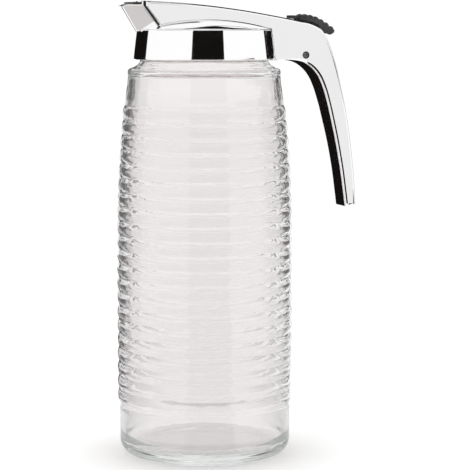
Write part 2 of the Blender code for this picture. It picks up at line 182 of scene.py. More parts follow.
# Thumb lever and its pin
PIN_X = 57.7
PIN_Z = 228.6
PIN_RADIUS = 1.8
PIN_RECESS = 0.4
PIN_DISH = [
    (0, 0.25), (0.6, 0.2), (1.0, 0.02), (1.2, 0), (PIN_RADIUS - 0.25, 0), (PIN_RADIUS, 0.25),
]
LEVER_SWING = 24.0
ARM_HALF = 3.0
BOSS_RADIUS = 3.3
SLOT_ROOM = 0.4
SLOT_REACH = 30.0
PAD_HALF_WIDTH = 6.0
PAD_CROWN_RADIUS = 14.0
PAD_TOP = [(55.7, 250.9), (61.0, 250.8), (66.6, 249.5), (72.2, 246.6), (77.4, 242.9)]
PAD_UNDER = [(72.2, 241.4), (69.1, 244.1), (65.2, 246.5), (61.4, 247.8), (55.7, 248.8)]
PAD_TIP = (75.9, 242.4)
PAD_TIP_RADIUS = 2.2
PAD_MIDDLE = (65.0, 247.6)
PAD_HALF_LENGTH = 14.0
PAD_HALF_THICKNESS = 6.0
PAD_RIM = 0.5
PAD_SLICES = 20
PAD_CORNER_X = 66.0
PAD_CORNER_LENGTH = 12.0
PAD_CORNER_START = 2.5
PAD_CORNER_CURVE = 0.12
PAD_SIDE_TAPER = 0.06
RIDGE_COUNT = 7
RIDGE_HEIGHT = 1.2
RIDGE_GROOVE = 0.2
RIDGE_FULLNESS = 0.7
TONGUE_SIDE = [(50.6, 249.6), (50.6, 251.3), (56.8, 251.1), (56.8, 249.0)]
TONGUE_HALF_WIDTH = 3.5
TONGUE_EDGE = 0.25

# Photograph, stage and light, in metres and degrees
PHOTO_TURN = 17.5
PHOTO_SIDE = 470
FOCAL_PIXELS = 1921.0
HORIZON_PIXELS = 200
SENSOR_WIDTH = 36
CAMERA_PLACE = (0.0175, -1.0963, 0.240)
FRONT_DISTANCE = 0.85
PANEL_DISTANCE = 0.84
REAR_DISTANCE = 0.9
GLASS_DISTANCE = 3.0
FLOOR_CARD_LIFT = 0.001
GLASS_CARD_LIFT = 0.0004
CEILING_HEIGHT = 1.2
CEILING_REACH = 1.314
CEILING_MIDDLE = (0.193, 0.614)
CEILING_HOLE = 0.35
CEILING_STEPS = 64
STAGE_RADIUS = 0.62
STAGE_STEPS = 96
STAGE_DROP = 0.0002
SKY_STRENGTH = 1.02
KEY_SIZE = (0.9, 0.7)
KEY_ENERGY = 2.0
KEY_PLACE = (0.0, 0.1, 1.1)
KEY_TARGET = (0, 0, 0.05)
BOUNCES = 80

workshop = bpy.data.collections.new("workshop")
bpy.context.scene.collection.children.link(workshop)


# Meshes


def metres(points):
    """Turns millimetres to metres."""
    return [tuple(value * 0.001 for value in point) for point in points]


def put(name, mesh):
    """Adds a mesh to the scene as an object."""
    thing = bpy.data.objects.new(name, mesh)
    workshop.objects.link(thing)
    return thing


def clean(mesh):
    """Joins doubled points and turns every face outwards."""
    work = bmesh.new()
    work.from_mesh(mesh)
    bmesh.ops.remove_doubles(work, verts=work.verts, dist=1e-7)
    bmesh.ops.recalc_face_normals(work, faces=work.faces)
    work.to_mesh(mesh)
    work.free()


def skin(name, points, faces):
    """A closed mesh object from points in millimetres."""
    mesh = bpy.data.meshes.new(name)
    mesh.from_pydata(metres(points), [], faces)
    clean(mesh)
    return put(name, mesh)


def turned(name, profile, closed=False, segments=LATHE_SEGMENTS, shape=None):
    """A solid of revolution of a profile (radius, z). shape may move each point (x, y, z)."""
    points, rings = [], []
    for radius, z in profile:
        count = segments if radius > 1e-6 else 1
        rings.append((len(points), count))
        for i in range(count):
            turn = 2 * math.pi * i / segments
            point = (radius * math.cos(turn), radius * math.sin(turn), z)
            points.append(shape(point) if shape else point)
    faces = []
    pairs = list(zip(rings, rings[1:])) + ([(rings[-1], rings[0])] if closed else [])
    for (a, a_count), (b, b_count) in pairs:
        for i in range(segments):
            j = (i + 1) % segments
            corners = [a + i % a_count, a + j % a_count, b + j % b_count, b + i % b_count]
            face = list(dict.fromkeys(corners))
            if len(face) > 2:
                faces.append(face)
    return skin(name, points, faces)


def loft(name, rings):
    """A closed skin over rings of equally many points."""
    count = len(rings[0])
    last = (len(rings) - 1) * count
    faces = [tuple(range(count)), tuple(range(last, last + count))]
    for i in range(len(rings) - 1):
        for j in range(count):
            a, b = i * count + j, i * count + (j + 1) % count
            faces.append((a, b, b + count, a + count))
    return skin(name, [point for ring in rings for point in ring], faces)


def plate(name, outline, half_width):
    """A flat outline (x, z) given a thickness across Y."""
    return loft(name, [[(x, y, z) for x, z in outline] for y in (-half_width, half_width)])


def rod(name, x, z, radius, half_length):
    """A round rod along Y."""
    outline = arc(x, z, radius, 0, 360 - 360 / ROD_SEGMENTS, ROD_SEGMENTS - 1)
    return plate(name, outline, half_length)


def cut(thing, other, operation="DIFFERENCE"):
    """Combines two solids for good and removes the second."""
    step = thing.modifiers.new("cut", "BOOLEAN")
    step.operation = operation
    step.solver = "EXACT"
    step.object = other
    bpy.context.view_layer.update()
    graph = bpy.context.evaluated_depsgraph_get()
    result = bpy.data.meshes.new_from_object(thing.evaluated_get(graph))
    thing.modifiers.clear()
    thing.data = result
    bpy.data.objects.remove(other, do_unlink=True)


def smooth(thing, degrees=SOFT_ANGLE):
    """Soft shading that keeps large flat faces flat and sharp edges sharp."""
    thing.data.shade_smooth()
    thing.data.set_sharp_from_angle(angle=math.radians(degrees))
    weighting = thing.modifiers.new("weighting", "WEIGHTED_NORMAL")
    weighting.keep_sharp = True
    weighting.weight = FLAT_FACE_WEIGHT


def arc(x, z, radius, start, end, count):
    """Points round a centre, from one angle to another in degrees."""
    angles = [math.radians(start + (end - start) * i / count) for i in range(count + 1)]
    return [(x + radius * math.cos(a), z + radius * math.sin(a)) for a in angles]


def smooth_line(points, per_span):
    """A smooth curve through the points, which may have any number of values each."""
    before = tuple(2 * a - b for a, b in zip(points[0], points[1]))
    after = tuple(2 * a - b for a, b in zip(points[-1], points[-2]))
    p = [before, *points, after]
    line = []
    for i in range(1, len(p) - 2):
        for step in range(per_span):
            t = step / per_span
            line.append(tuple(
                b + 0.5 * ((c - a) * t + (2 * a - 5 * b + 4 * c - d) * t ** 2
                           + (3 * b - a - 3 * c + d) * t ** 3)
                for a, b, c, d in zip(p[i - 1], p[i], p[i + 1], p[i + 2])
            ))
    return line + [tuple(points[-1])]


def eased(outline, radii, steps=5, closed=True):
    """The outline with its corners rounded. radii is one number or one for each corner."""
    count = len(outline)
    radii = radii if hasattr(radii, "__len__") else [radii] * count
    line = []
    for i, (x, z) in enumerate(outline):
        radius = radii[i]
        if radius <= 0 or (not closed and i in (0, count - 1)):
            line.append((x, z))
            continue
        here = Vector((x, z))
        back = Vector(outline[i - 1]) - here
        on = Vector(outline[(i + 1) % count]) - here
        half = back.angle(on) / 2
        most = 0.49 * min(back.length, on.length)
        reach = min(radius / math.tan(half), most)
        radius = reach * math.tan(half)
        inward = (back.normalized() + on.normalized()).normalized()
        middle = here + inward * radius / math.sin(half)
        start = here + back.normalized() * reach - middle
        end = here + on.normalized() * reach - middle
        sweep = start.angle_signed(end)
        for step in range(steps + 1):
            turn = -sweep * step / steps
            c, s = math.cos(turn), math.sin(turn)
            line.append((
                middle.x + c * start.x - s * start.y,
                middle.y + s * start.x + c * start.y,
            ))
    return line


# Glass jug


def body_radius(z):
    """The ribbed wall's outer radius, which narrows in a curve towards the shoulder."""
    return BODY_RADIUS - max(0.0, z - TAPER_START) ** 2 / (2 * TAPER_CURVE)


# Waves round the jug: height, how many go round, shift from rib to rib, start
WANDERING = [(0.45, 2, 1.9, 0.0), (0.35, 5, -2.7, 1.3), (0.20, 9, 4.1, 0.4)]
DASHES = [(0.4, 13, 7.3, 0.0), (0.35, 21, -11.9, 2.1), (0.25, 34, 17.7, 0.9)]


def waves(kind, turn, level):
    """The sum of such waves, between -1 and 1."""
    return sum(
        height * math.sin(around * turn + along * level + start)
        for height, around, along, start in kind
    )


def pressed(point):
    """Moves a point of the ribbed wall a little, as on glass pressed in a mould."""
    x, y, z = point
    radius = math.hypot(x, y)
    ribbed = RIBS_BOTTOM + 0.5 < z < RIBS_TOP - 0.5
    if not ribbed or radius < body_radius(z) - 1.5 * RIB_DEPTH:
        return point
    turn = math.atan2(y, x)
    level = (RIBS_TOP - z) / RIB_PITCH
    wander = RIB_WANDER * waves(WANDERING, turn, math.floor(level))
    grow = 1 + (wander + RIB_DASH * waves(DASHES, turn, level)) / radius
    lift = RIB_WAVE * waves(WANDERING, turn + 0.8, level)
    return (x * grow, y * grow, z + lift)


def ribs():
    """The ring ribs, from the top one down, each a shallow arc between two eased notches."""
    points = []
    for i in range(RIB_COUNT * RIB_POINTS + 1):
        z = RIBS_TOP - RIB_PITCH * i / RIB_POINTS
        across = (i % RIB_POINTS) / RIB_POINTS
        bulge = 4 * across * (1 - across)
        points.append((body_radius(z) - RIB_DEPTH * (1 - bulge), z))
    return points


def inner_radius(z):
    """The inside's radius beside the ribs."""
    return body_radius(z) - RIB_DEPTH - WALL


inside = [(r, FLOOR) for r in (0, 12, 24)]
inside += arc(inner_radius(0) - FLOOR_CORNER, FLOOR + FLOOR_CORNER, FLOOR_CORNER, -90, 0, 12)
inside += [(inner_radius(z), z) for z in range(40, 200, 6)]
inside += smooth_line([(inner_radius(200), 200), *SHOULDER_INSIDE], 5)
mouth = [
    (MOUTH_RADIUS, MOUTH_TOP), (NECK_RADIUS, MOUTH_TOP),
    (NECK_RADIUS, COLLAR_BOTTOM - GAP),
]
inside += eased([(MOUTH_RADIUS, 230.0), *mouth], [0, MOUTH_EDGE, MOUTH_EDGE, 0], closed=False)
outside = smooth_line([
    (NECK_RADIUS, COLLAR_BOTTOM - 1.0), *NECK_FILLET,
    *arc(SHOULDER_RADIUS - SHOULDER_EDGE, SHOULDER_TOP - SHOULDER_EDGE, SHOULDER_EDGE, 75, 10, 4),
    (SHOULDER_RADIUS, SHOULDER_TOP - 2.5 * SHOULDER_EDGE),
], 4)
outside += smooth_line([
    (SHOULDER_RADIUS + 0.4, 212.0), (BAND_RADIUS - 0.35, 205.0),
    (BAND_RADIUS, RIBS_TOP + 0.6),
], 5)
foot = [(FOOT_RADIUS - 0.2, RIBS_BOTTOM - 1.0), (FOOT_RADIUS - 0.05, RIBS_BOTTOM - 2.6)]
foot += [(FOOT_RADIUS, z) for z in (22, 16, FOOT_CORNER + 1)]
foot += arc(FOOT_RADIUS - FOOT_CORNER, FOOT_CORNER, FOOT_CORNER, 0, -90, 18)
foot += [(30, 0), (15, 0), (0, 0)]
glass = turned("jug_glass", inside + outside + ribs() + foot, shape=pressed)
smooth(glass, GLASS_SOFT_ANGLE)

# Screw collar
collar_outline = [(COLLAR_HOLE, COLLAR_TOP), (COLLAR_TOP_RADIUS, COLLAR_TOP)]
for i in range(1, COLLAR_ROWS):
    t = i / COLLAR_ROWS
    radius = COLLAR_TOP_RADIUS + (COLLAR_BASE_RADIUS - COLLAR_TOP_RADIUS) * t
    radius += RING_BOW * 4 * t * (1 - t)
    collar_outline.append((radius, COLLAR_TOP - (COLLAR_TOP - COLLAR_BOTTOM) * t))
collar_outline += [
    (COLLAR_BASE_RADIUS, COLLAR_BOTTOM), (NECK_RADIUS + GAP, COLLAR_BOTTOM),
    (NECK_RADIUS + GAP, MOUTH_TOP + GAP), (COLLAR_HOLE, MOUTH_TOP + GAP),
]
collar_radii = [0] * len(collar_outline)
collar_radii[1] = collar_radii[COLLAR_ROWS + 1] = COLLAR_EDGE
collar = turned("collar_ring", eased(collar_outline, collar_radii), closed=True)
smooth(collar)

# Domed lid


def dome_height(radius):
    """The lid's top at a distance from the axis."""
    return DOME_APEX - (DOME_APEX - DOME_EDGE) * (radius / DOME_RADIUS) ** 2


def dome_arc(outer, lower, count=24):
    """The lid's curve from the axis out, at a depth under its top."""
    radii = [outer * i / count for i in range(count + 1)]
    return [(r, dome_height(r) - lower) for r in radii]


under_apex = DOME_APEX - DOME_WALL - DOME_BOTTOM
hollow_radius = DOME_RADIUS * math.sqrt(under_apex / (DOME_APEX - DOME_EDGE))
dome_profile = dome_arc(DOME_RADIUS - 0.15, 0)
dome_profile += [
    (DOME_RADIUS, DOME_EDGE - DOME_ROUND), (DOME_RADIUS, DOME_BOTTOM + DOME_ROUND),
    (DOME_RADIUS - DOME_ROUND, DOME_BOTTOM),
]
dome_profile += reversed(dome_arc(hollow_radius, DOME_WALL))
dome = turned("lid_dome", dome_profile)


def collar_reach(z):
    """How near the head's other pieces come to the jug's axis beside the collar."""
    t = min(1.0, max(0.0, (COLLAR_TOP - z) / (COLLAR_TOP - COLLAR_BOTTOM)))
    radius = COLLAR_TOP_RADIUS + (COLLAR_BASE_RADIUS - COLLAR_TOP_RADIUS) * t
    return radius + COLLAR_BOW * 4 * t * (1 - t) + GAP


# Plates with a rounded rim: bar and handle, spout


def rimmed(name, outline, radii, half_at, rim_steps=7, across=8, settle=None):
    """A plate across Y whose rim is rounded on both sides, each outline point with its radius.

    half_at gives the half width at (x, z), and settle may move a point of the skin.
    """
    count = len(outline)
    inward = []
    for i in range(count):
        here, back, on = (Vector(outline[k % count]) for k in (i, i - 1, i + 1))
        a, b = (here - back).normalized(), (on - here).normalized()
        left, right = Vector((-a.y, a.x)), Vector((-b.y, b.x))
        inward.append((left + right) / max(0.35, 1 + left.dot(right)))
    area = sum(
        outline[i - 1][0] * outline[i][1] - outline[i][0] * outline[i - 1][1]
        for i in range(count)
    )
    facing = 1 if area > 0 else -1

    def ring(turn, side):
        points = []
        for (x, z), normal, radius in zip(outline, inward, radii):
            move = facing * radius * (1 - math.cos(turn))
            px, pz = x + normal.x * move, z + normal.y * move
            y = half_at(px, pz) - radius * (1 - math.sin(turn))
            points.append((px, side * y, pz))
        return points

    turns = [math.pi / 2 * i / rim_steps for i in range(rim_steps, -1, -1)]
    rings = [ring(turn, -1) for turn in turns]
    near, far = rings[-1], ring(0, 1)
    for i in range(1, across):
        t = i / across
        rings.append([
            tuple(a + (b - a) * t for a, b in zip(p, q)) for p, q in zip(near, far)
        ])
    rings += [ring(turn, 1) for turn in reversed(turns)]
    if settle:
        rings = [[settle(point) for point in points] for points in rings]
    return loft(name, rings)


def seam(shift):
    """The seam's line from the top down, moved by shift along X."""
    line = [(SEAM_X, SEAM_TOP), (SEAM_X, SEAM_KNEE), (SEAM_FOOT_X, SEAM_FOOT_Z)]
    return [(x + shift, z) for x, z in line]


bar_half = BAR_WIDTH / 2


def handle_half(x, z):
    """Half the width of bar and grip, which narrows down the grip."""
    t = (z - GRIP_TAPER_BOTTOM) / (GRIP_TAPER_TOP - GRIP_TAPER_BOTTOM)
    t = min(1.0, max(0.0, t))
    return (GRIP_WIDTH + (BAR_WIDTH - GRIP_WIDTH) * t * t * (3 - 2 * t)) / 2


def over_dome(x, y):
    """The lowest height that clears the lid at a place."""
    return dome_height(min(math.hypot(x, y), DOME_RADIUS + GAP)) + GAP


def clear_of_head(point):
    """Lifts a point of the bar off the dome and moves it out of the collar."""
    x, y, z = point
    radius = math.hypot(x, y)
    if radius < DOME_RADIUS + GAP:
        return (x, y, max(z, over_dome(x, y)))
    if COLLAR_BOTTOM - 1 < z < COLLAR_TOP + 1.2 and x > 0:
        reach = collar_reach(z)
        if radius < reach:
            return (math.sqrt(reach ** 2 - y ** 2), y, z)
    return point


def seam_foot(line):
    """Where a line down the seam's slope meets the lid under the bar's side."""
    (x, z), (low_x, low_z) = line[1], line[2]
    run = (low_x - x) / (z - low_z)
    drop = 0.02
    while z > over_dome(x, bar_half):
        z -= drop
        x += run * drop
    return x, z


def handle_rim():
    """Bar and grip in side view, round from the seam's top, and the rim's radius at each point."""
    outline, radii = [], []

    def trace(points, radius):
        for point in points:
            if outline and math.dist(point, outline[-1]) < 0.02:
                continue
            outline.append(point)
            radii.append(radius)

    sections = smooth_line(STATIONS, 8)
    inner_line = [(s[0], s[1]) for s in sections]
    outer_line = [(s[2], s[3]) for s in sections]

    seam_line = seam(SEAM_WIDTH / 2)
    knee_x = seam_line[1][0]
    foot_x, foot_z = seam_foot(seam_line)
    trace([(knee_x, SEAM_TOP - 0.1 - 0.3 * i) for i in range(9)], SEAM_EDGE)
    steps = 24
    trace([
        (knee_x + (foot_x - knee_x) * i / steps, SEAM_KNEE + (foot_z - SEAM_KNEE) * i / steps)
        for i in range(steps + 1)
    ], SEAM_EDGE)

    rim_x = math.sqrt((DOME_RADIUS + GAP) ** 2 - bar_half ** 2)
    steps = 90
    arch = [foot_x + (rim_x - foot_x) * i / steps for i in range(1, steps + 1)]
    trace([(x, over_dome(x, bar_half)) for x in arch], HEAD_EDGE)

    steps = 22
    heights = [COLLAR_TOP + (COLLAR_BOTTOM - COLLAR_TOP) * i / steps for i in range(steps + 1)]
    trace([(math.sqrt(collar_reach(z) ** 2 - bar_half ** 2), z) for z in heights], HEAD_EDGE)

    collar_x = math.sqrt(collar_reach(COLLAR_BOTTOM) ** 2 - bar_half ** 2)
    for x, z in inner_line:
        if x > collar_x + 1.2 and z < BEND_TOP:
            growth = (x - INNER_EDGE_START) / (INNER_EDGE_FULL - INNER_EDGE_START)
            growth = min(1.0, max(0.0, growth))
            trace([(x, z)], HEAD_EDGE + (INNER_EDGE - HEAD_EDGE) * growth)

    end_inner, end_outer = inner_line[-1], outer_line[-1]
    end_z = end_inner[1] - END_EDGE
    corners = [end_inner, (end_inner[0] + 0.1, end_z), (end_outer[0] - 0.1, end_z), end_outer]
    rounded = eased(corners, [0, END_CORNER, END_CORNER, 0], steps=8, closed=False)
    for i, point in enumerate(rounded[1:-1]):
        share = (i + 1) / (len(rounded) - 1)
        trace([point], INNER_EDGE + (OUTER_EDGE - INNER_EDGE) * share)
    trace([point for point in reversed(outer_line) if point[0] > knee_x + 0.6], OUTER_EDGE)
    return outline, radii


handle = rimmed("handle_bar", *handle_rim(), handle_half, settle=clear_of_head)

channel_front = SPOUT_HUMP_X - 0.5
channel_rear = SHUTTER_REAR_X + SHUTTER_TRAVEL + 2 * GAP
channel_side = [
    (channel_front, SPOUT_RIM), (channel_front, SEAM_TOP + 3),
    (channel_rear, SEAM_TOP + 3), (channel_rear, SPOUT_RIM),
]


def channel():
    """The shutter's room in spout, seal and bar."""
    return plate("channel", channel_side, SHUTTER_HALF + GAP)


cut(handle, channel())
swing = math.radians(LEVER_SWING)
slot_half = ARM_HALF + SLOT_ROOM
slot_rear_x = PIN_X + slot_half * math.cos(swing) + GAP + SLOT_REACH * math.sin(swing)
slot_rear_z = PIN_Z - slot_half * math.sin(swing) + SLOT_REACH * math.cos(swing)
slot_side = arc(PIN_X, PIN_Z, BOSS_RADIUS + SLOT_ROOM, 180, 360, 24)
slot_side += [(slot_rear_x, slot_rear_z), (PIN_X - slot_half - GAP, PIN_Z + SLOT_REACH)]
cut(handle, plate("slot", slot_side, ARM_HALF + GAP))
cut(handle, rod("pin_hole", PIN_X, PIN_Z, PIN_RADIUS + GAP, BAR_WIDTH))
smooth(handle)

# Spout


def front_face(z):
    """Where the spout's leaning front is at a height."""
    lean = (SPOUT_TIP_X - SPOUT_FOOT_X) / (SPOUT_RIM - SPOUT_FOOT_Z)
    return SPOUT_FOOT_X + lean * (z - SPOUT_FOOT_Z)


def spout_half(x, z):
    """Half width of the wedge: it widens upwards and towards the seam."""
    t = min(1.0, max(0.0, (z - SPOUT_FOOT_Z + 1) / (SPOUT_FLARE_TOP - SPOUT_FOOT_Z + 1)))
    front_half = SPOUT_FOOT_HALF + (SPOUT_TIP_HALF - SPOUT_FOOT_HALF) * t
    rear_x = SPOUT_BACK_FOOT_X + (SEAM_X - SPOUT_BACK_FOOT_X) * t
    front_x = front_face(min(z, SPOUT_FLARE_TOP)) - 0.3 * t
    along = (x - front_x) / (rear_x - front_x)
    return min(bar_half, front_half + (bar_half - front_half) * max(0.0, along))


spout_seam = seam(-SEAM_WIDTH / 2)
lip_z = SPOUT_RIM - SPOUT_LIP_DROP
spout_corners = [
    (front_face(SPOUT_FOOT_Z), SPOUT_FOOT_Z), (front_face(lip_z), lip_z),
    (SPOUT_LIP_X, SPOUT_RIM), (SPOUT_HUMP_X, SPOUT_RIM), (SPOUT_HUMP_X, SEAM_TOP),
    *spout_seam, (spout_seam[2][0], SPOUT_FOOT_Z),
]


def spaced(corners, step):
    """The closed outline with points added, no further apart than step."""
    line = []
    for i, (x, z) in enumerate(corners):
        nx, nz = corners[(i + 1) % len(corners)]
        count = max(1, math.ceil(math.dist((x, z), (nx, nz)) / step))
        line += [(x + (nx - x) * k / count, z + (nz - z) * k / count) for k in range(count)]
    return line


spout_outline = spaced(spout_corners, 0.7)
spout_radii = [SEAM_EDGE] * len(spout_outline)
spout = rimmed("lid_spout", spout_outline, spout_radii, spout_half, rim_steps=5)


def collar_room():
    """The room of collar and lid, with a gap, to be cut from the spout."""
    side = [(0, DOME_BOTTOM + 0.2), (DOME_RADIUS - 1.2, DOME_BOTTOM + 0.2)]
    side += [(COLLAR_TOP_RADIUS - COLLAR_EDGE, DOME_BOTTOM)]
    side += [(collar_reach(z), z) for z in (242.4, 240, 237, 234, 231, 228)]
    side += [(COLLAR_BASE_RADIUS + GAP, COLLAR_BOTTOM - 1), (0, COLLAR_BOTTOM - 1)]
    return turned("collar_room", side)


def passage():
    """The way of the liquid from the lid's inside to the spout's mouth."""
    hole = plate("passage", PASSAGE_SIDE, PASSAGE_HALF)
    levels = []
    for z in (SPOUT_FOOT_Z - 1, SPOUT_FLARE_TOP, SEAM_TOP + 2):
        front = front_face(min(z, SPOUT_FLARE_TOP)) + SPOUT_FRONT_WALL
        inner = spout_half(front, z) - SPOUT_SIDE_WALL
        rear = bar_half - SPOUT_SIDE_WALL
        levels.append([
            (front, inner, z), (PASSAGE_REAR_X, rear, z),
            (PASSAGE_REAR_X, -rear, z), (front, -inner, z),
        ])
    cut(hole, loft("passage_plan", levels), "INTERSECT")
    return hole


cut(spout, collar_room())
cut(spout, passage())
cut(spout, channel())
smooth(spout)
cut(dome, passage())
smooth(dome)

# Seal in the seam
seal_side = seam(-SEAL_THICKNESS / 2) + list(reversed(seam(SEAL_THICKNESS / 2)))
seal = plate("seam_seal_strip", spaced(seal_side, 1.0), bar_half - 0.25)
over_head = dome_arc(DOME_RADIUS + GAP, -GAP)
over_head += [(DOME_RADIUS + GAP, COLLAR_BOTTOM), (0, COLLAR_BOTTOM)]
cut(seal, turned("over_head", over_head))
cut(seal, channel())
smooth(seal)

# Shutter
shutter_bottom = SPOUT_RIM + GAP
shutter_plan = eased([
    (SHUTTER_FRONT_X, -SHUTTER_FRONT_HALF), (SPOUT_HUMP_X, -SHUTTER_HALF),
    (SHUTTER_REAR_X, -SHUTTER_HALF), (SHUTTER_REAR_X, SHUTTER_HALF),
    (SPOUT_HUMP_X, SHUTTER_HALF), (SHUTTER_FRONT_X, SHUTTER_FRONT_HALF),
], SHUTTER_CORNERS)
shutter_levels = []
middle = Vector(((SHUTTER_FRONT_X + SHUTTER_REAR_X) / 2, 0))
for rise, inset in SHUTTER_LEVELS:
    level = []
    for x, y in shutter_plan:
        away = Vector((x, y)) - middle
        away = away * (1 - inset / away.length)
        level.append((middle.x + away.x, away.y, shutter_bottom + rise))
    shutter_levels.append(level)
shutter = loft("shutter_plate", shutter_levels)
smooth(shutter)

# Pin with a dished end
pin_end = bar_half - PIN_RECESS
pin_profile = [(radius, pin_end - drop) for radius, drop in PIN_DISH]
pin_profile += [(r, -y) for r, y in reversed(pin_profile)]
pin = turned("pin_round", pin_profile, segments=ROD_SEGMENTS)
pin_place = Matrix.Translation((PIN_X * 0.001, 0, PIN_Z * 0.001))
pin.data.transform(pin_place @ Matrix.Rotation(math.pi / 2, 4, "X"))
clean(pin.data)
smooth(pin)

# Thumb lever


def pad_top(across):
    """The ridged top of the pad at a distance from its middle, front to tip."""
    line = smooth_line(PAD_TOP, 18)
    fall = across * across / (2 * PAD_CROWN_RADIUS)
    points = []
    for i, (x, z) in enumerate(line):
        before, after = line[max(i - 1, 0)], line[min(i + 1, len(line) - 1)]
        dx, dz = after[0] - before[0], after[1] - before[1]
        length = math.hypot(dx, dz)
        phase = i / (len(line) - 1) * RIDGE_COUNT
        wave = max(0.0, math.sin(math.pi * (phase % 1.0)) - RIDGE_GROOVE) / (1 - RIDGE_GROOVE)
        rise = wave ** RIDGE_FULLNESS * RIDGE_HEIGHT - fall
        points.append((x - dz / length * rise, z + dx / length * rise))
    return points


def pad_ring(across, inset):
    """The pad's outline at a distance from its middle, shorter and thinner by the inset."""
    tip_radius = PAD_TIP_RADIUS * (1 - PAD_SIDE_TAPER * abs(across))
    ring = pad_top(across) + arc(*PAD_TIP, tip_radius, 25, -125, 14) + smooth_line(PAD_UNDER, 8)
    corner = PAD_CORNER_CURVE * max(0.0, abs(across) - PAD_CORNER_START) ** 2
    shorter, thinner = 1 - inset / PAD_HALF_LENGTH, 1 - inset / PAD_HALF_THICKNESS
    middle_x, middle_z = PAD_MIDDLE
    points = []
    for x, z in ring:
        x -= corner * max(0.0, x - PAD_CORNER_X) / PAD_CORNER_LENGTH
        x, z = middle_x + (x - middle_x) * shorter, middle_z + (z - middle_z) * thinner
        points.append((x, across, z))
    return points


flat_slices = math.floor(PAD_SLICES * (1 - PAD_RIM / PAD_HALF_WIDTH))
pad_slices = [
    (PAD_HALF_WIDTH * i / PAD_SLICES, 0.0) for i in range(-flat_slices, flat_slices + 1)
]
for i in range(1, 6):
    turn = math.pi / 2 * i / 5
    across = PAD_HALF_WIDTH - PAD_RIM + PAD_RIM * math.sin(turn)
    inset = PAD_RIM * (1 - math.cos(turn))
    pad_slices.append((across, inset))
    pad_slices.insert(0, (-across, inset))
pad = loft("lever_pad", [pad_ring(*item) for item in pad_slices])
tongue = plate("tongue", eased(TONGUE_SIDE, TONGUE_EDGE), TONGUE_HALF_WIDTH)
arm_top = PAD_UNDER[-1][1] + GAP
arm_side = arc(PIN_X, PIN_Z, BOSS_RADIUS, 180, 360, 24)
arm_side += [(PIN_X + ARM_HALF, PIN_Z + ARM_HALF), (PIN_X + ARM_HALF, arm_top)]
arm_side += [(PIN_X - ARM_HALF, arm_top), (PIN_X - ARM_HALF, PIN_Z + ARM_HALF)]
cut(pad, tongue, "UNION")
cut(pad, plate("arm", arm_side, ARM_HALF), "UNION")
cut(pad, rod("arm_hole", PIN_X, PIN_Z, PIN_RADIUS + GAP, BAR_WIDTH))
smooth(pad, PAD_SOFT_ANGLE)


# Materials

# Sockets of the Mix node when it mixes colours
MIX_FACTOR, MIX_A, MIX_B, MIX_RESULT = 0, 6, 7, 2


def ramp(nodes, links, value, stops):
    """Maps a value to colours, each stop (position, (r, g, b))."""
    node = nodes.new("ShaderNodeValToRGB")
    band = node.color_ramp
    while len(band.elements) < len(stops):
        band.elements.new(0.5)
    for element, (position, colour) in zip(band.elements, stops):
        element.position = position
        element.color = (*colour, 1.0)
    links.new(value, node.inputs["Fac"])
    return node.outputs["Color"]


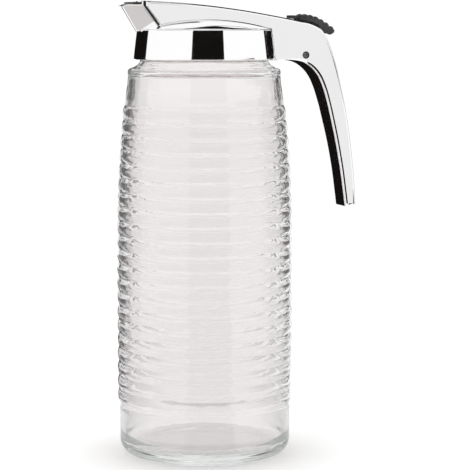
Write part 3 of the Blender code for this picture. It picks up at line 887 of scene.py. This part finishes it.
class Paint:
    """A material and short calls to add nodes to it."""

    def __init__(self, name):
        self.material = bpy.data.materials.new(name)
        self.material.use_nodes = True
        self.nodes = self.material.node_tree.nodes
        self.links = self.material.node_tree.links
        self.nodes.clear()
        self.output = self.nodes.new("ShaderNodeOutputMaterial")
        self.shader = self.nodes.new("ShaderNodeBsdfPrincipled")
        self.links.new(self.shader.outputs["BSDF"], self.output.inputs["Surface"])
        place = self.nodes.new("ShaderNodeTexCoord")
        self.place = place.outputs["Object"]

    def set(self, **values):
        """Sets the shader's inputs by name, with _ for each space."""
        for name, value in values.items():
            self.shader.inputs[name.replace("_", " ")].default_value = value

    def stretched(self, scale):
        node = self.nodes.new("ShaderNodeMapping")
        node.inputs["Scale"].default_value = scale
        self.links.new(self.place, node.inputs["Vector"])
        return node.outputs["Vector"]

    def noise(self, scale, detail=3.0, roughness=0.5, stretch=None):
        node = self.nodes.new("ShaderNodeTexNoise")
        node.inputs["Scale"].default_value = scale
        node.inputs["Detail"].default_value = detail
        node.inputs["Roughness"].default_value = roughness
        self.links.new(self.stretched(stretch) if stretch else self.place, node.inputs["Vector"])
        return node.outputs["Fac"]

    def spread(self, value, low, high, start=0.3, end=0.7):
        """Maps a value between start and end to low and high."""
        node = self.nodes.new("ShaderNodeMapRange")
        limits = {"From Min": start, "From Max": end, "To Min": low, "To Max": high}
        for name, number in limits.items():
            node.inputs[name].default_value = number
        self.links.new(value, node.inputs["Value"])
        return node.outputs["Result"]

    def colours(self, value, *stops):
        return ramp(self.nodes, self.links, value, stops)

    def sum(self, a, b, share):
        """The value a plus a share of b."""
        node = self.nodes.new("ShaderNodeMath")
        node.operation = "MULTIPLY_ADD"
        self.links.new(b, node.inputs[0])
        node.inputs[1].default_value = share
        self.links.new(a, node.inputs[2])
        return node.outputs["Value"]

    def height(self):
        """Height above the table, in metres."""
        node = self.nodes.new("ShaderNodeSeparateXYZ")
        self.links.new(self.place, node.inputs["Vector"])
        return node.outputs["Z"]

    def distance(self):
        """Distance from the jug's axis on the table, in metres."""
        node = self.nodes.new("ShaderNodeVectorMath")
        node.operation = "LENGTH"
        self.links.new(self.place, node.inputs[0])
        return node.outputs["Value"]

    def product(self, a, b):
        """Two colours multiplied."""
        node = self.nodes.new("ShaderNodeMix")
        node.data_type = "RGBA"
        node.blend_type = "MULTIPLY"
        node.inputs[MIX_FACTOR].default_value = 1.0
        self.links.new(a, node.inputs[MIX_A])
        self.links.new(b, node.inputs[MIX_B])
        return node.outputs[MIX_RESULT]

    def feed(self, name, value):
        """Leads a value or colour into one of the shader's inputs."""
        self.links.new(value, self.shader.inputs[name])

    def bump(self, height, distance, strength=1.0):
        node = self.nodes.new("ShaderNodeBump")
        node.inputs["Strength"].default_value = strength
        node.inputs["Distance"].default_value = distance
        self.links.new(height, node.inputs["Height"])
        self.feed("Normal", node.outputs["Normal"])


def glass_paint():
    """Clear glass with a faint grey tint, a little darker where it is ribbed."""
    paint = Paint("clear_glass")
    paint.set(Metallic=0.0, IOR=1.5, Transmission_Weight=1.0)
    smooth_band, ribbed_band = (0.947, 0.930, 0.929), (0.909, 0.890, 0.890)
    bands = paint.colours(
        paint.height(), (0.026, smooth_band), (0.034, ribbed_band),
        (0.196, ribbed_band), (0.206, smooth_band),
    )
    cloud = paint.noise(9.0, 2.0, stretch=(1, 1, 2.5))
    clouds = paint.colours(cloud, (0.3, (0.985, 0.984, 0.984)), (0.7, (1.0, 1.0, 1.0)))
    paint.feed("Base Color", paint.product(bands, clouds))
    paint.feed("Roughness", paint.spread(paint.noise(40.0), 0.0, 0.03))
    ripple = paint.noise(16.0, 3.0, stretch=(1, 1, 7))
    grain = paint.noise(60.0, 2.0, stretch=(1, 1, 3))
    paint.bump(paint.sum(ripple, grain, 0.2), 0.0002, 0.5)
    tinted = paint.nodes.new("ShaderNodeVolumeAbsorption")
    tinted.inputs["Color"].default_value = (0.70, 0.742, 0.728, 1.0)
    tinted.inputs["Density"].default_value = 9.0
    paint.links.new(tinted.outputs["Volume"], paint.output.inputs["Volume"])
    return paint.material


def chrome_paint():
    """Chrome with faint smudges and fine upright scratches."""
    paint = Paint("polished_chrome")
    paint.set(Metallic=1.0)
    dark, light = (0.955, 0.955, 0.957), (0.98, 0.98, 0.98)
    paint.feed("Base Color", paint.colours(paint.noise(22.0, 3.0), (0.3, dark), (0.7, light)))
    smudges = paint.noise(30.0, 4.0, 0.6)
    scratches = paint.noise(220.0, 2.0, stretch=(1, 1, 12))
    wear = paint.sum(smudges, scratches, 0.25)
    paint.feed("Roughness", paint.spread(wear, 0.02, 0.075, 0.4, 0.85))
    paint.bump(paint.noise(70.0, 2.0), 0.00002, 0.5)
    return paint.material


def plastic_paint(name, dark, light, rough_low, rough_high):
    """Moulded plastic or rubber with a fine grain."""
    paint = Paint(name)
    paint.set(Metallic=0.0, IOR=1.48)
    paint.feed("Base Color", paint.colours(paint.noise(90.0, 3.0), (0.35, dark), (0.7, light)))
    paint.feed("Roughness", paint.spread(paint.noise(160.0, 2.0), rough_low, rough_high))
    paint.bump(paint.noise(900.0, 2.0), 0.00006, 0.6)
    return paint.material


def steel_paint():
    """The pin's darker metal."""
    paint = Paint("dark_steel")
    paint.set(Metallic=1.0)
    dark, light = (0.10, 0.10, 0.105), (0.2, 0.2, 0.2)
    paint.feed("Base Color", paint.colours(paint.noise(400.0, 2.0), (0.3, dark), (0.7, light)))
    paint.feed("Roughness", paint.spread(paint.noise(600.0), 0.2, 0.4))
    paint.bump(paint.noise(1500.0), 0.00002, 0.4)
    return paint.material


chrome = chrome_paint()
black_plastic = plastic_paint(
    "satin_black_plastic", (0.022, 0.022, 0.023), (0.045, 0.045, 0.046), 0.38, 0.55,
)
rubber = plastic_paint("black_rubber", (0.008,) * 3, (0.016,) * 3, 0.6, 0.75)

for piece, paint, nodes, slot, body in (
    (glass, glass_paint(), ["glass_jug"], "glass", "jug"),
    (collar, chrome, ["screw_collar"], "chrome", "jug"),
    (dome, chrome, ["pouring_lid"], "chrome", "jug"),
    (spout, chrome, ["pouring_lid"], "chrome", "jug"),
    (handle, chrome, ["bar_handle"], "chrome", "jug"),
    (seal, rubber, ["seam_seal"], "black_plastic", "jug"),
    (pin, steel_paint(), ["pivot_pin"], "dark_steel", "jug"),
    (shutter, black_plastic, ["spout_shutter"], "black_plastic", "shutter"),
    (pad, black_plastic, ["thumb_lever"], "black_plastic", "lever"),
):
    piece.data.materials.clear()
    piece.data.materials.append(paint)
    for polygon in piece.data.polygons:
        polygon.material_index = 0
    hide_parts(*nodes)
    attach(piece, body)


# Stage: a floor, and cards that only the reflections or only the view through the glass show


def glow(name, colour):
    """A material that only shines."""
    material = bpy.data.materials.new(name)
    material.use_nodes = True
    nodes, links = material.node_tree.nodes, material.node_tree.links
    nodes.clear()
    output, light = nodes.new("ShaderNodeOutputMaterial"), nodes.new("ShaderNodeEmission")
    light.inputs["Color"].default_value = (*colour, 1.0)
    links.new(light.outputs["Emission"], output.inputs["Surface"])
    return material


def side_glow(name, *stops):
    """A glow that changes with the distance sideways from the jug's axis in the photograph.

    Each stop is (metres, brightness).
    """
    material = glow(name, (1.0, 1.0, 1.0))
    nodes, links = material.node_tree.nodes, material.node_tree.links
    turn = math.radians(PHOTO_TURN)
    place, across = nodes.new("ShaderNodeTexCoord"), nodes.new("ShaderNodeVectorMath")
    across.operation = "DOT_PRODUCT"
    across.inputs[1].default_value = (math.cos(turn), -math.sin(turn), 0.0)
    links.new(place.outputs["Object"], across.inputs[0])
    size = nodes.new("ShaderNodeMath")
    size.operation = "ABSOLUTE"
    links.new(across.outputs["Value"], size.inputs[0])
    greys = [(position, (value,) * 3) for position, value in stops]
    light = next(node for node in nodes if node.type == "EMISSION")
    links.new(ramp(nodes, links, size.outputs["Value"], greys), light.inputs["Color"])
    return material


def card(name, points, material, through_glass=False, closed=False):
    """A band between pairs of points.

    It shows only as a reflection or, instead, only through the glass.
    """
    count = len(points) // 2
    faces = []
    for i in range(count if closed else count - 1):
        j = (i + 1) % count
        faces.append((2 * i, 2 * j, 2 * j + 1, 2 * i + 1))
    mesh = bpy.data.meshes.new(name)
    mesh.from_pydata(points, [], faces)
    mesh.materials.append(material)
    thing = put(name, mesh)
    thing.visible_camera = thing.visible_diffuse = thing.visible_shadow = False
    thing.visible_transmission = through_glass
    thing.visible_glossy = not through_glass


def seen_at(angle, radius, z):
    """A place round the jug.

    The angle is in degrees from the camera's side, positive towards the handle.
    """
    turn = math.radians(angle - PHOTO_TURN)
    return (radius * math.sin(turn), -radius * math.cos(turn), z)


def wall(name, places, radius, material, through_glass=False, steps=16):
    """An upright card curved round the jug, through places (angle, bottom, top)."""
    points = []
    for first, second in zip(places, places[1:]):
        for i in range(steps + 1):
            angle, low, high = (a + (b - a) * i / steps for a, b in zip(first, second))
            points += [seen_at(angle, radius, low), seen_at(angle, radius, high)]
    card(name, points, material, through_glass)


def patch(name, start, end, near, far, height, material, through_glass=False, steps=16):
    """A level card, a sector of a ring round the jug."""
    points = []
    for i in range(steps + 1):
        angle = start + (end - start) * i / steps
        points += [seen_at(angle, near, height), seen_at(angle, far, height)]
    card(name, points, material, through_glass)


black_card = glow("black_card", (0.007, 0.006, 0.0055))
grey_card = glow("grey_card", (0.63, 0.61, 0.6))
dim_card = glow("dim_card", (0.18, 0.18, 0.177))
haze_card = glow("haze_card", (0.2, 0.2, 0.197))
pale_card = glow("pale_card", (0.87, 0.865, 0.865))
# Painted shade for the floor seen through the foot: brightest near the jug's axis, darker further
# to either side
shade_card = side_glow("shade_card", (0.030, 0.985), (0.046, 0.86), (0.065, 0.70))

# In front and at the sides, reflected on the faces turned to the camera
wall("front_card_high", [
    (-19.6, 0.30, 0.36), (-17.6, 0.30, 0.5), (33.0, 0.30, 0.51),
], FRONT_DISTANCE, black_card)
wall("front_card_low", [(-19.0, 0.001, 0.19), (33.0, 0.001, 0.19)], 0.4, black_card)
wall("side_card", [
    (46.0, 0.232, 0.30), (65.0, 0.232, 0.325), (82.0, 0.232, 0.339), (89.0, 0.232, 0.333),
], FRONT_DISTANCE, black_card)
wall("panel_card", [(28.0, 0.05, 0.285), (45.0, 0.05, 0.285)], PANEL_DISTANCE, pale_card)

# Behind, reflected on the dome, on the grip and at the edges
for name, places in (
    ("rear_card_left_high", [(-174.0, 0.2, 0.47), (-108.0, 0.2, 0.47)]),
    ("rear_card_left_low", [(-152.0, -0.3, 0.2), (-108.0, -0.3, 0.2)]),
    ("rear_card_left_foot", [(-176.0, -0.6, 0.0), (-160.0, -0.5, 0.022), (-152.0, -0.3, 0.022)]),
    ("rear_card_middle", [(-190.0, -0.6, 0.19), (-176.0, -0.6, 0.19)]),
    ("rear_card_right_high", [(122.0, 0.2, 0.47), (174.0, 0.2, 0.47)]),
    ("rear_card_right_low", [(122.0, -0.3, 0.2), (152.0, -0.3, 0.2)]),
):
    wall(name, places, REAR_DISTANCE, black_card)

# Behind, through the glass only, for the glass's dark edges
wall("glass_card_left", [
    (-162.0, -1.2, 0.3), (-146.0, -1.2, 1.2), (-96.0, -1.2, 1.2),
], GLASS_DISTANCE, dim_card, True)
wall("glass_card_right", [
    (96.0, -1.2, 1.2), (146.0, -1.2, 1.2), (162.0, -1.2, 0.3),
], GLASS_DISTANCE, haze_card, True)

# On the floor
patch("floor_card_left", -60.0, -20.0, 0.08, 0.38, FLOOR_CARD_LIFT, grey_card)
# Seen only through the glass, under the foot: painted shade on the floor there, darker further to
# either side
patch("floor_glass_rear", 95.0, 265.0, 0.052, 0.19, GLASS_CARD_LIFT, shade_card, True, steps=64)
patch("floor_card_front", -20.0, 33.0, 0.055, 0.4, FLOOR_CARD_LIFT, black_card)
patch("floor_card_rear", -196.0, -108.0, 0.16, 0.62, FLOOR_CARD_LIFT, black_card)

# Overhead, with a hole that keeps the chrome bright when it is seen from above
ceiling_points = []
for i in range(CEILING_STEPS):
    turn = 2 * math.pi * i / CEILING_STEPS
    for radius, (x, y) in ((CEILING_HOLE, (0, 0)), (CEILING_REACH, CEILING_MIDDLE)):
        place = (x + radius * math.cos(turn), y + radius * math.sin(turn), CEILING_HEIGHT)
        ceiling_points.append(place)
card("ceiling_card", ceiling_points, black_card, closed=True)

# Floor with a soft, even glow of its own; the glow is weaker in a ring round the jug's foot, a
# painted contact shadow
floor_points = []
for i in range(STAGE_STEPS):
    turn = 2 * math.pi * i / STAGE_STEPS
    place = (STAGE_RADIUS * math.cos(turn), STAGE_RADIUS * math.sin(turn), -STAGE_DROP)
    floor_points.append(place)
floor_mesh = bpy.data.meshes.new("floor")
floor_mesh.from_pydata(floor_points, [], [tuple(range(STAGE_STEPS))])
floor = put("floor", floor_mesh)
floor_paint = Paint("pale_floor")
floor_paint.set(Roughness=0.55, Emission_Strength=1.0)
floor_paint.feed("Base Color", floor_paint.colours(
    floor_paint.noise(3.0), (0.3, (0.59, 0.585, 0.582)), (0.7, (0.62, 0.615, 0.612)),
))
# Painted shadow: the glow is dimmed between 44 and 78 mm from the jug's axis
floor_paint.feed("Emission Color", floor_paint.colours(
    floor_paint.distance(), (0.044, (0.465,) * 3), (0.050, (0.35, 0.345, 0.34)),
    (0.060, (0.41, 0.407, 0.404)), (0.078, (0.465,) * 3),
))
floor.data.materials.append(floor_paint.material)

# Light
world = bpy.data.worlds.new("studio")
bpy.context.scene.world = world
world.use_nodes = True
background = next(node for node in world.node_tree.nodes if node.type == "BACKGROUND")
background.inputs["Color"].default_value = (1.0, 1.0, 1.0, 1.0)
background.inputs["Strength"].default_value = SKY_STRENGTH

key = bpy.data.lights.new("key", "AREA")
key.shape = "RECTANGLE"
key.size, key.size_y = KEY_SIZE
key.energy = KEY_ENERGY
key_light = bpy.data.objects.new("key", key)
bpy.context.scene.collection.objects.link(key_light)
key_light.location = KEY_PLACE
towards = Vector(KEY_TARGET) - key_light.location
key_light.rotation_euler = towards.to_track_quat("-Z", "Y").to_euler()
key_light.visible_glossy = False

# Camera at the photograph's angle
camera_data = bpy.data.cameras.new("camera")
camera_data.sensor_width = SENSOR_WIDTH
camera_data.lens = FOCAL_PIXELS * SENSOR_WIDTH / PHOTO_SIDE
camera = bpy.data.objects.new("camera", camera_data)
bpy.context.scene.collection.objects.link(camera)
tilt = math.atan(HORIZON_PIXELS / FOCAL_PIXELS)
stand = Matrix.Translation(CAMERA_PLACE) @ Matrix.Rotation(math.pi / 2 - tilt, 4, "X")
camera.matrix_world = Matrix.Rotation(-math.radians(PHOTO_TURN), 4, "Z") @ stand
bpy.context.scene.camera = camera
bpy.context.scene.view_settings.view_transform = "Standard"
bpy.context.scene.cycles.max_bounces = BOUNCES
bpy.context.scene.cycles.transmission_bounces = BOUNCES
bpy.context.scene.cycles.glossy_bounces = BOUNCES
